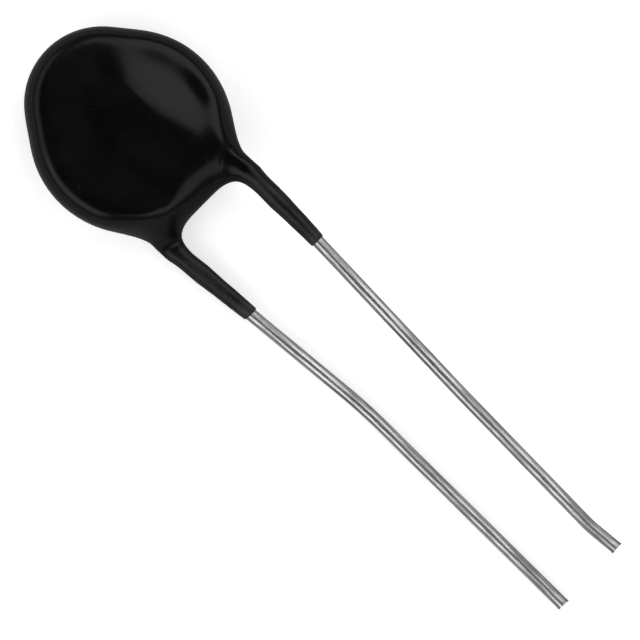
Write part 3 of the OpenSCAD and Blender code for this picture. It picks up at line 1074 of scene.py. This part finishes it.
@dataclass(frozen=True)
class CoatSkin:
    """The dipped coat: the solid's own form, made smooth, with the uneven set of the resin.

    Attributes:
        node: The node that it stands for.
        lie: How the part lies.
        levels: Levels of its subdivision.
        weld: How close two points are merged. This and the other lengths are in millimetres.
        quad_angle: The angle up to which two triangles are joined, in radians.
        seat: How close to a sealed piece a point belongs to the hollow.
        wall_below: The height of a normal below which the skin is wall and no front face.
        level_from: The height of a normal from which the face counts as level.
        root: Where the front leg leaves the disc, from the disc's centre.
        root_reach: How far round it the skin is eased.
        root_passes: How often it is eased there.
        swells: The places where the front face set higher.
        leg_from: Where the lumps of the legs start, along the leads in the part's frame.
        leg_fade: The length over which they come in.
        on_legs: The lumps of the legs.
        on_disc: The waves of the disc.
        crease: The angle of the sharpest edge that is shaded smooth, in degrees.
    """

    node: str = "coating"
    lie: Lie = LIE
    levels: int = 1
    weld: float = 0.002
    quad_angle: float = 0.9
    seat: float = 0.02
    wall_below: float = 0.2
    level_from: float = 0.9
    root: tuple[float, float] = (6.6, 2.9)
    root_reach: float = 1.7
    root_passes: int = 12
    swells: tuple[Swell, ...] = (
        Swell("swell_by_the_rim", 64.0, 6.9, 4.5, 2.0, 0.42),
        Swell("swell_by_the_wire_end", 143.0, 5.5, 2.4, 2.3, 0.14),
    )
    leg_from: float = -12.4
    leg_fade: float = 2.0
    on_legs: Lumps = Lumps("legs", 0.9, 0.05)
    on_disc: Lumps = Lumps("disc", 3.2, 0.02)
    crease: float = 60.0

    def build(self) -> None:
        """Makes the coat from a merged copy of the solid, and dresses it."""
        piece = bpy.data.objects.new("coat_skin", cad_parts[self.node].data.copy())
        bpy.context.scene.collection.objects.link(piece)
        lines = self._lining()
        with Editing(piece) as edit:
            bpy.ops.mesh.select_all(action="SELECT")
            bpy.ops.mesh.remove_doubles(threshold=self.weld * MM)
            bpy.ops.mesh.tris_convert_to_quads(
                face_threshold=self.quad_angle, shape_threshold=self.quad_angle
            )
            bpy.ops.mesh.normals_make_consistent(inside=False)
            edit.points(lines)
            bpy.ops.transform.edge_crease(value=1.0)
        modified(piece, "SUBSURF", levels=self.levels, render_levels=self.levels)
        front = [
            vertex.index
            for vertex in piece.data.vertices
            if vertex.normal.z > self.wall_below and not lines(vertex.co)
        ]
        self._ease(piece, front)
        self._settle(piece, front)
        self._roughen(piece)
        steep = [1.0 - abs(vertex.normal.z) for vertex in piece.data.vertices]
        noted(piece, "wall", [(share, 0.0, 0.0) for share in steep])
        smoothed(piece, self.crease)
        dressed(piece, DippedCoat())
        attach(piece, "root")
        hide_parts(self.node)
        LOG.info("%s: %d faces", piece.name, len(piece.data.polygons))

    def _lining(self) -> Callable[[Vector], bool]:
        """Finds out which points line the hollow.

        Returns:
            A test for points that lie against one of the pieces in the coat.
        """
        held = [
            BVHTree.FromPolygons(
                [vertex.co for vertex in node.data.vertices],
                [face.vertices for face in node.data.polygons],
            )
            for name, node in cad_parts.items()
            if name != self.node
        ]
        return lambda place: any(
            tree.find_nearest(place, self.seat * MM)[0] is not None for tree in held
        )

    def _spot(self, vertex: bpy.types.MeshVertex) -> Vector:
        """Where a point lies from the disc's centre, seen from above, in millimetres."""
        return Vector((vertex.co.x + self.lie.middle, vertex.co.y)) / MM

    def _ease(self, piece: bpy.types.Object, front: list[int]) -> None:
        """Runs the skin smoothly into the front leg at its root.

        Args:
            piece: The coat.
            front: Its points on the front face.
        """
        shares = []
        for index in front:
            away = (self._spot(piece.data.vertices[index]) - Vector(self.root)).length
            shares.append((index, min(1.0, max(0.0, 2.0 - 2.0 * away / self.root_reach))))
        weighted(piece, "root", shares)
        modified(piece, "SMOOTH", iterations=self.root_passes, vertex_group="root")

    def _settle(self, piece: bpy.types.Object, front: list[int]) -> None:
        """Lifts the broad places of the front face, and lets each run out before the wall.

        Args:
            piece: The coat.
            front: Its points on the front face.
        """
        for swell in self.swells:
            shares = []
            for index in front:
                vertex = piece.data.vertices[index]
                rise = vertex.normal.z - self.wall_below
                level = min(1.0, rise / (self.level_from - self.wall_below))
                level = level * level * (3.0 - 2.0 * level)
                shares.append((index, swell.share(self._spot(vertex)) * level))
            weighted(piece, swell.name, shares)
            modified(
                piece,
                "DISPLACE",
                direction="Z",
                mid_level=0.0,
                strength=swell.rise * MM,
                vertex_group=swell.name,
            )

    def _roughen(self, piece: bpy.types.Object) -> None:
        """Lets the coat dip in slightly, as it sets: broad waves on the disc, lumps on the legs.

        Args:
            piece: The coat.
        """
        on_leg = [
            min(1.0, max(0.0, (vertex.co.x / MM - self.leg_from) / self.leg_fade))
            for vertex in piece.data.vertices
        ]
        weighted(piece, self.on_legs.name, enumerate(on_leg))
        weighted(piece, self.on_disc.name, enumerate(1.0 - share for share in on_leg))
        for lumps in (self.on_legs, self.on_disc):
            pattern = bpy.data.textures.new(lumps.name + "_lumps", "CLOUDS")
            pattern.noise_scale = lumps.size * MM
            pattern.noise_depth = lumps.layers
            modified(
                piece,
                "DISPLACE",
                texture=pattern,
                texture_coords="LOCAL",
                mid_level=1.0,
                strength=lumps.depth * MM,
                vertex_group=lumps.name,
            )


@dataclass(frozen=True)
class SealedParts:
    """What the coat hides: the ceramic, its silver and the solder, in finishes of their own."""

    finishes: tuple[tuple[str, Finish], ...] = (
        ("ceramic_disc", FiredCeramic()),
        ("front_electrode", FiredSilver()),
        ("rear_electrode", FiredSilver()),
        ("front_solder", SolderBead()),
        ("rear_solder", SolderBead()),
    )

    def build(self) -> None:
        """Dresses each node where it is."""
        for name, finish in self.finishes:
            dressed(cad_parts[name], finish)
            LOG.info("%s: %s", name, type(finish).__name__)


# ---- studio


@dataclass(frozen=True)
class SoftBox:
    """A large soft lamp, aimed at the part, at an azimuth and so far from the zenith."""

    name: str
    azimuth: float
    from_zenith: float
    power: float
    width: float = 0.55
    height: float = 0.42
    distance: float = 0.62

    def build(self, aim: Vector) -> None:
        """Hangs the lamp.

        Args:
            aim: The point that it faces.
        """
        bearing, fall = math.radians(self.azimuth), math.radians(self.from_zenith)
        flat = math.sin(fall)
        out = Vector((flat * math.cos(bearing), flat * math.sin(bearing), math.cos(fall)))
        data = bpy.data.lights.new(self.name, "AREA")
        data.shape = "RECTANGLE"
        data.size, data.size_y = self.width, self.height
        data.energy = self.power
        lamp = bpy.data.objects.new(self.name, data)
        bpy.context.scene.collection.objects.link(lamp)
        lamp.location = aim + out * self.distance
        lamp.rotation_euler = (-out).to_track_quat("-Z", "Y").to_euler()
        lamp.visible_camera = False


@dataclass(frozen=True)
class Studio:
    """A pale floor, a ring of soft boxes in a dim room, and the camera in the dark gap overhead.

    Attributes:
        aim: The point below the camera, which the lamps face too.
        frame_width: The width of the picture at the height of the aim.
        camera_height: How far the camera hangs above it.
        camera_turn: How far the camera is turned, so that the leads run to the lower right.
        sensor: The width of its sensor, in the camera's own millimetres.
        sight: The nearest and the farthest that it sees.
        floor_radius: The floor's reach.
        floor_sides: The sides of its rim.
        overhead_level: The room's light from straight overhead.
        side_level: Its light from all round.
        dark_within: How far from the zenith the dark opening reaches, in degrees.
        light_beyond: From where on the room is wholly pale.
        boxes: The lamps.
    """

    aim: Point = (0.34285 * MM, -0.10795 * MM, 2.7 * MM)
    frame_width: float = 48.855 * MM
    camera_height: float = 0.55
    camera_turn: float = 45.0
    sensor: float = 36.0
    sight: Span = (0.01, 20.0)
    floor_radius: float = 3.0
    floor_sides: int = 96
    overhead_level: float = 0.05
    side_level: float = 0.25
    dark_within: float = 20.0
    light_beyond: float = 60.0
    boxes: tuple[SoftBox, ...] = (
        SoftBox("box_upper_right", 104.0, 42.0, 1.55, width=0.50, height=0.47),
        SoftBox("box_lower_right", 0.0, 46.0, 1.10),
        SoftBox("box_lower_left", 270.0, 52.0, 1.45),
        SoftBox("box_upper_left", 205.0, 56.0, 1.25, width=0.80),
    )

    def build(self) -> None:
        """Sets up the floor, lamps, room and camera."""
        self._floor()
        for box in self.boxes:
            box.build(Vector(self.aim))
        self._room()
        self._camera()
        bpy.context.scene.view_settings.view_transform = "Standard"
        LOG.info("studio: %d soft boxes", len(self.boxes))

    def _floor(self) -> None:
        """Lays the floor that the part rests on."""
        begin()
        bpy.ops.mesh.primitive_circle_add(
            vertices=self.floor_sides, radius=self.floor_radius, fill_type="NGON"
        )
        floor = newest("floor")
        dressed(floor, PaleFloor())

    def _room(self) -> None:
        """Fills the room like a light tent: pale all round, with a dark opening overhead."""
        world = bpy.data.worlds.new("room")
        bpy.context.scene.world = world
        nodes = Nodes(world, "ShaderNodeOutputWorld")
        way = nodes.node("ShaderNodeTexCoord").outputs["Generated"]
        up = Amount(nodes, nodes.node("ShaderNodeSeparateXYZ", {}, {0: way}).outputs["Z"])
        edge, middle = (
            math.cos(math.radians(angle)) for angle in (self.light_beyond, self.dark_within)
        )
        side, overhead = (
            nodes.node("ShaderNodeBackground", {}, {"Color": WHITE, "Strength": level}).outputs[0]
            for level in (self.side_level, self.overhead_level)
        )
        values = {0: up.between(edge, middle), 1: side, 2: overhead}
        nodes.shine(nodes.node("ShaderNodeMixShader", {}, values))

    def _camera(self) -> None:
        """Hangs the camera straight above."""
        data = bpy.data.cameras.new("camera")
        data.sensor_width = self.sensor
        data.lens = self.sensor * self.camera_height / self.frame_width
        data.clip_start, data.clip_end = self.sight
        camera = bpy.data.objects.new("camera", data)
        bpy.context.scene.collection.objects.link(camera)
        camera.location = Vector(self.aim) + Vector((0.0, 0.0, self.camera_height))
        camera.rotation_euler = (0.0, 0.0, math.radians(self.camera_turn))
        bpy.context.scene.camera = camera


# ---- object


FRONT_LEAD = WireLead(
    name="front_lead",
    face=Face.FRONT,
    corners=(
        Corner(0.5178, 1.9387),
        Corner(7.5, 3.875, 6.0),
        Corner(14.5, 3.875, 46.0),
        Corner(31.2, 3.3794, 46.0),
        Corner(46.0, 3.1469, 6.0),
        Corner(48.7, 3.4068),
    ),
)
REAR_LEAD = WireLead(
    name="rear_lead",
    face=Face.REAR,
    corners=(
        Corner(0.5179, -2.2310),
        Corner(7.6, -4.195, 6.0),
        Corner(27.5, -2.2789, 46.0),
        Corner(49.1, -2.1281),
    ),
)


def main() -> None:
    """Builds the pieces and the studio in order."""
    logging.basicConfig(level=logging.INFO, format="%(name)s %(message)s", stream=sys.stdout)
    CoatSkin().build()
    FRONT_LEAD.build()
    REAR_LEAD.build()
    SealedParts().build()
    Studio().build()


if __name__ == "__main__":
    main()
